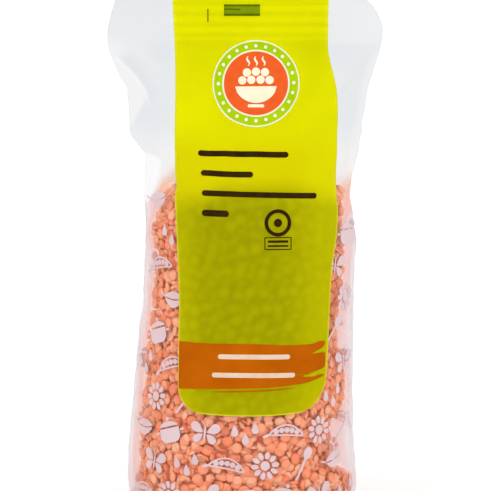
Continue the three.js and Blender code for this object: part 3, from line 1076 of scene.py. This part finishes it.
def emblem():
    """A round badge with a steaming bowl of lentils, as (name, shapes, ink, layer)."""
    centre = (4.5, 180.9)
    turns = np.linspace(0, 2 * np.pi, 25)[:-1]
    beads = [disc(*turned_to(15.5, t), 0.75) for t in turns]
    across = np.linspace(-8.6, 8.6, 20)
    bowl = between(across, -1.2 - 7 * (1 - (across / 8.6) ** 2) ** 0.6, -1.2)
    low_row = [(-5.6, 1.3), (-1.9, 1.5), (1.9, 1.5), (5.6, 1.3)]
    high_row = [(-3.7, 4.5), (0, 4.8), (3.7, 4.5)]
    heaped = [disc(x, y, 1.75) for x, y in low_row + high_row]
    rise = np.linspace(0, 1, 17)
    sway = 0.5 * np.sin(2 * np.pi * rise)
    plume = 0.42 * np.sin(np.pi * (0.1 + 0.8 * rise))
    steam = [ribbon(points_of(x + sway, 7.2 + 3.9 * rise), plume) for x in (-3.2, 0, 3.2)]
    layers = [
        ("emblem_rim", [disc(0, 0, 17.9)], "cream"),
        ("emblem_ring", [disc(0, 0, 17.3)], "leaf_green"),
        ("emblem_edge", [disc(0, 0, 13.9)], "cream"),
        ("emblem_ground", [disc(0, 0, 13.2)], "orange_red"),
        ("emblem_drawing", [bowl, bar(-3.4, 3.4, -9.4, 1.3), *heaped, *steam, *beads], "cream"),
    ]
    return [
        (name, turned(shapes, 0, centre), colour, layer)
        for layer, (name, shapes, colour) in enumerate(layers, 1)
    ]


def brush_band():
    """A broad stroke of orange with a ragged right end and a thin stroke below it."""
    top = curve_through([(-29, 76.5), (-14, 76.1), (2, 76.0), (21, 75.2), (28, 75.2), (33, 76.3), (36, 76.6)])
    foot = curve_through([(-29, 57.0), (-14, 57.5), (5, 57.9), (21, 58.9), (29, 59.8), (36, 61.2)])
    end = curve_through([
        (0, 27), (0.05, 35.2), (0.1, 34.6), (0.16, 25), (0.2, 24.4), (0.26, 35.4), (0.42, 35.9), (0.55, 35.8),
        (0.66, 35.4), (0.72, 30), (0.75, 28.6), (0.79, 34), (0.9, 35.6), (0.97, 35.0), (1, 32),
    ])
    shares = np.linspace(0, 1, 45)
    points, faces = patch(points_of(-28.1, shares), points_of(end(shares), shares))
    along, share = points.T
    z = foot(along) + (top(along) - foot(along)) * share
    under = np.linspace(-14.5, 21, 40)
    swell = 0.34 * np.sin(np.pi * (under + 14.5) / 35.5) ** 0.5
    return [(points_of(along, z), faces), ribbon(points_of(under, foot(under) - 1.15), swell)]


def label_print_pieces():
    """Everything printed on the front and the back of the label, as (side, name, shapes, ink, layer)."""
    tilt = 0.03
    lines = [
        bar(-19.4, 17.6, 152.9, 2.3, tilt), bar(-18.1, 3.3, 144.9, 2.3, tilt),
        bar(-17.7, 30.3, 136.9, 2.3, tilt), bar(-17.7, -6.5, 128.9, 2.6, tilt),
    ]
    mark = [ring(13.4, 124.9, 5.5, 1.5), disc(13.4, 124.9, 1.7)]
    mark += [bar(8.0, 18.9, z, 0.4) for z in (119.0, 114.2)]
    mark += [bar(9.2, 17.7, 117.4, 1.0), bar(9.2, 17.7, 115.6, 0.7)]
    mark += [strip(x, 114.2, x, 119.0, 0.4) for x in (8.1, 18.8)]
    words = [bar(-11.0, 18.5, 70.8, 2.0, 0.01), bar(-13.5, 20.7, 63.3, 2.0, 0.01)]
    eye = [strip(-8.7, 211.2, 6.2, 211.2, 4.9)]
    eye_lines = [
        strip(-8.6, 213.1, 6.1, 213.1, 1.0), strip(-8.6, 209.4, 6.1, 209.4, 1.1),
        strip(-8.6, 211.5, -2, 211.4, 0.5),
    ]
    tick = [strip(-15.3, 206.4, -15.3, 211.6, 0.45)]
    front = [
        *emblem(),
        ("label_lines", lines + mark, "dark_brown", 1),
        ("label_band", brush_band(), "brush_orange", 1),
        ("label_band_lines", words, "cream_on_orange", 2),
        ("label_eye", eye, "dull_green", 1),
        ("label_eye_lines", eye_lines + tick, "dark_green", 2),
    ]

    def seen_from_behind(shapes):
        middle = [LABEL_MIDDLE, 0]
        return [((points - middle) * [-1, 1] + middle, faces) for points, faces in shapes]

    line_ends = (26, 30, 22, 29, 30, 17, 28, 30, 25, 29, 12)
    long_lines = [bar(-24, x1, z, 1.1) for z, x1 in zip(np.arange(187, 150, -3.6), line_ends)]
    table = [bar(-24, -24 + 21 + 5 * math.sin(k), 144 - 4.4 * k, 0.9) for k in range(7)]
    table += [bar(8, 12 + 2 * math.cos(2 * k), 144 - 4.4 * k, 0.9) for k in range(7)]
    table += [bar(-25.5, 15, 146.2 - 4.4 * k, 0.25) for k in range(8)]
    widths = np.random.default_rng(8).choice([0.35, 0.35, 0.7, 1.0], 26)
    places = -24 + np.cumsum(widths + 0.55)
    code = [strip(x, 92, x, 108, w) for x, w in zip(places, widths)]
    seal_mark = [ring(25, 100, 6.2, 0.9), leaf((21.5, 97.5), (28.5, 102.5), 4.2, 0.6, (1, 1))]
    back = [
        ("back_lines", seen_from_behind(long_lines + table + code + seal_mark), "dark_brown", 1),
        ("back_band", seen_from_behind([bar(-24, 30, 193.5, 4.4)]), "brush_orange", 1),
    ]
    return [(FRONT, *entry) for entry in front] + [(BACK, *entry) for entry in back]


# Print on the film

def half_leaves():
    """A leaf in two halves, with its midrib left bare, on a stalk."""
    line = np.linspace(-4.5, 6.5, 14)
    width = 3.1 * np.sin(np.pi * (line + 4.5) / 11) ** 0.8
    rib = 0.035 * line**2
    halves = [between(line, rib + s * 0.25, rib + s * (0.25 + width)) for s in (-1, 1)]
    return halves + [ribbon([(-7.2, 2.2), (-5.8, 1.4), (-4.4, 0.7)], 0.35)]


def open_pod():
    """A pod with its seeds."""
    t = np.linspace(0, 1, 15)
    x = -7.5 + 15 * t
    bow = 2.2 * (1 - (2 * t - 1) ** 2)
    walls = [ribbon(points_of(x, bow + s * 2.1 * np.sin(np.pi * t) ** 0.7), 0.35) for s in (-1, 1)]
    seeds = [disc(-7.5 + 15 * s, 2.2 * (1 - (2 * s - 1) ** 2), 1.15) for s in (0.2, 0.35, 0.5, 0.65, 0.8)]
    return turned(walls + seeds + [leaf((-10, -1.2), (-7.4, 0), 1.4)], 0, (0.8, -1))


def cooking_pot():
    x = np.linspace(-5.2, 5.2, 14)
    body = between(x, -5 + 2.4 * np.abs(x / 5.2) ** 5, 1.0)
    lid = between(x, 1.7, 1.7 + 2.1 * (1 - (x / 5.2) ** 2) ** 0.7)
    return [body, lid, disc(0, 4.8, 0.85), bar(-7.4, -5.5, -0.4, 1.0), bar(5.5, 7.4, -0.4, 1.0)]


def daisy():
    turns = np.linspace(0, 2 * np.pi, 11)[:-1]
    return [disc(0, 0, 2.0), *[leaf(turned_to(2.7, t), turned_to(5.9, t), 2.1) for t in turns]]


def butterfly():
    wings = [leaf((s * 0.7, 0.4), (s * 5.8, 3.8), 4.0, -s * 0.4, (1, 0.5)) for s in (-1, 1)]
    wings += [leaf((s * 0.7, -0.4), (s * 4.4, -4.0), 3.2, s * 0.3, (1, 0.5)) for s in (-1, 1)]
    feelers = [ribbon([(s * 0.3, 3), (s * 0.9, 4.2), (s * 1.9, 5)], 0.22) for s in (-1, 1)]
    return [leaf((0, -3.6), (0, 3.2), 0.9), *wings, *feelers]


def wooden_spoon():
    return turned([leaf((2.2, 0), (7.6, 0), 4.0), bar(-7.5, 2.9, 0, 1.0)], 48)


def rain_drops():
    return [leaf((x, y + 5), (x, y), 3.0, 0, (1.3, 0.5)) for x, y in ((-4.2, -1.2), (0.1, -4.6), (4.2, -0.4))]


def motif_places(side):
    """Staggered rows of places for the motifs, without those that the label hides."""
    places, kinds, turns = [], [], []
    draw = np.random.default_rng(17 + side)
    for row, z in enumerate(np.arange(MOTIF_FIRST_ROW, MOTIF_TOP[side], MOTIF_ROW_STEP)):
        left, right = crease_ends(side, z)
        label = label_edges(side, max(z, LABEL_FOOT[FRONT]))
        for column in range(-4, 5):
            along = (column + row % 2 / 2) * MOTIF_STEP
            turn = draw.uniform(-MOTIF_TURN, MOTIF_TURN)
            hidden = label[0] + 3 < along < label[1] and z > LABEL_FOOT[side] + 4
            if left + MOTIF_REACH < along < right - MOTIF_REACH and not hidden:
                places.append((along, z, 0))
                kinds.append((3 * row + 2 * column + (side == BACK) * 3) % MOTIF_KINDS)
                turns.append(turn)
    return places, kinds, turns


def motif_tree():
    """Puts a motif, picked by its number and turned, at each point."""
    tree, value = geometry_tree("lay_out_motifs", {
        "Motifs": "Collection", "Size": "Float", "Material": "Material",
    })
    kind = node(tree, "GeometryNodeInputNamedAttribute", {"data_type": "INT"}, Name="kind")
    turn = node(tree, "GeometryNodeInputNamedAttribute", {"data_type": "FLOAT"}, Name="turn")
    rotation = node(tree, "FunctionNodeEulerToRotation", Euler=node(tree, "ShaderNodeCombineXYZ", Z=turn))
    drawn = node(tree, "GeometryNodeCollectionInfo", Collection=value["Motifs"], Separate_Children=True)
    size = node(tree, "ShaderNodeCombineXYZ", X=value["Size"], Y=value["Size"], Z=1.0)
    laid = node(
        tree, "GeometryNodeInstanceOnPoints", Points=value["Geometry"], Instance=drawn, Rotation=rotation,
        Scale=size, Instance_Index=kind, Pick_Instance=True)
    real = node(tree, "GeometryNodeRealizeInstances", Geometry=laid)
    done = node(tree, "GeometryNodeSetMaterial", Geometry=real, Material=value["Material"])
    node(tree, "NodeGroupOutput", Geometry=done)
    return tree


def print_film(material):
    """White motifs in staggered rows on both sides of the film, laid out flat and then wrapped on it."""
    drawings = [half_leaves(), open_pod(), cooking_pot(), daisy(), butterfly(), wooden_spoon(), rain_drops()]
    flat_pieces = []
    for number, shapes in enumerate(drawings):
        points, faces = joined(shapes)
        flat = np.column_stack([points, np.zeros(len(points))])
        flat_pieces.append(mesh_piece(f"motif_{number}", flat, facing_out(points, faces, FRONT)))
    motifs = collection_of("motifs", flat_pieces)
    tree = motif_tree()
    made = []
    for side, name in ((FRONT, "film_print_front"), (BACK, "film_print_back")):
        places, kinds, turns = motif_places(side)
        layout = mesh_piece(name + "_layout", places, [])
        for key, kind, values in (("kind", "INT", kinds), ("turn", "FLOAT", turns)):
            layout.data.attributes.new(key, kind, "POINT").data.foreach_set("value", values)
        sheet = grow(layout, tree, Motifs=motifs, Size=1.0, Material=material)
        bpy.data.objects.remove(layout)
        flat = np.zeros(3 * len(sheet.vertices))
        sheet.vertices.foreach_get("co", flat)
        points = flat.reshape(-1, 3)[:, :2] / MM
        faces = facing_out(points, [list(face.vertices) for face in sheet.polygons], side)
        left, right = crease_ends(side, points[:, 1])
        along = np.clip(points[:, 0], left + 0.3, right - 0.3)
        wrapped = film_point(side, along, points[:, 1], 2 * INK_LIFT)
        made.append(mesh_piece(name, wrapped, faces, material))
    for piece in flat_pieces:
        bpy.data.objects.remove(piece)
    return made


# Scene

lentils = make_lentils()
gaps = lay_film_on(lentils[:2])
film = make_film(clear_film())
label = make_label(label_print(), gaps)
inks = {
    "cream": ink("ink_cream", (246, 240, 205), (250, 246, 220)),
    "cream_on_orange": ink("ink_cream_on_orange", (232, 200, 166), (238, 214, 190)),
    "leaf_green": ink("ink_leaf_green", (166, 204, 3), (180, 214, 5)),
    "orange_red": ink("ink_orange_red", (236, 92, 38), (242, 102, 44)),
    "dark_brown": ink("ink_dark_brown", (44, 30, 8), (58, 40, 10)),
    "brush_orange": ink("ink_brush_orange", (185, 89, 3), (199, 100, 4), scale=120.0),
    "dull_green": ink("ink_dull_green", (120, 144, 6), (132, 156, 8)),
    "dark_green": ink("ink_dark_green", (84, 104, 4), (96, 116, 6)),
}
label_inks = [
    print_on(label_point, side, name, shapes, inks[colour], layer)
    for side, name, shapes, colour, layer in label_print_pieces()
]
film_print = print_film(ink("ink_white", (222, 193, 197), (233, 209, 213), scale=90.0))

for piece in (*lentils, film, label, *label_inks, *film_print):
    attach(piece, "root")
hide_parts("bag")
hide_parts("label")

FLOOR_REACH = 750.0
floor_corners = [(x * FLOOR_REACH, y * FLOOR_REACH, 0) for x, y in ((-1, -1), (1, -1), (1, 1), (-1, 1))]
floor = mesh_piece("floor", floor_corners, [(0, 1, 2, 3)], pale_floor())

scene = bpy.context.scene
scene.view_settings.view_transform = "Standard"
world = bpy.data.worlds.new("studio")
world.use_nodes = True
surroundings = world.node_tree.nodes["Background"].inputs
surroundings["Color"].default_value = (1, 1, 1, 1)
surroundings["Strength"].default_value = 1.06
scene.world = world


def aimed(thing, place, aim):
    """Puts a lamp or the camera at its place in the scene and points it."""
    thing.location = place
    thing.rotation_euler = (Vector(aim) - Vector(place)).to_track_quat("-Z", "Y").to_euler()
    scene.collection.objects.link(thing)


for name, place, power in (("key_light", (-1.5, -1.7, 1.59), 13.0), ("fill_light", (1.8, -1.6, 1.09), 11.0)):
    lamp = bpy.data.lights.new(name, "AREA")
    lamp.shape = "DISK"
    lamp.size = 1.2
    lamp.energy = power
    aimed(bpy.data.objects.new(name, lamp), place, (0, 0, 0.11))

# Camera: a long lens a little above the middle of the bag, whose frame cuts off the bag's foot and top edge
VIEW_HEIGHT = 204.6  # of the bag that the frame takes in
VIEW_MIDDLE = 113.5
VIEW_DISTANCE = 1100.0
VIEW_RISE = math.radians(5)
camera_data = bpy.data.cameras.new("camera")
camera_data.lens = camera_data.sensor_width * VIEW_DISTANCE / VIEW_HEIGHT
camera = bpy.data.objects.new("camera", camera_data)
aim = Vector((0, 0, VIEW_MIDDLE * MM))
aimed(camera, aim + Vector((0, -math.cos(VIEW_RISE), math.sin(VIEW_RISE))) * VIEW_DISTANCE * MM, aim)
scene.camera = camera
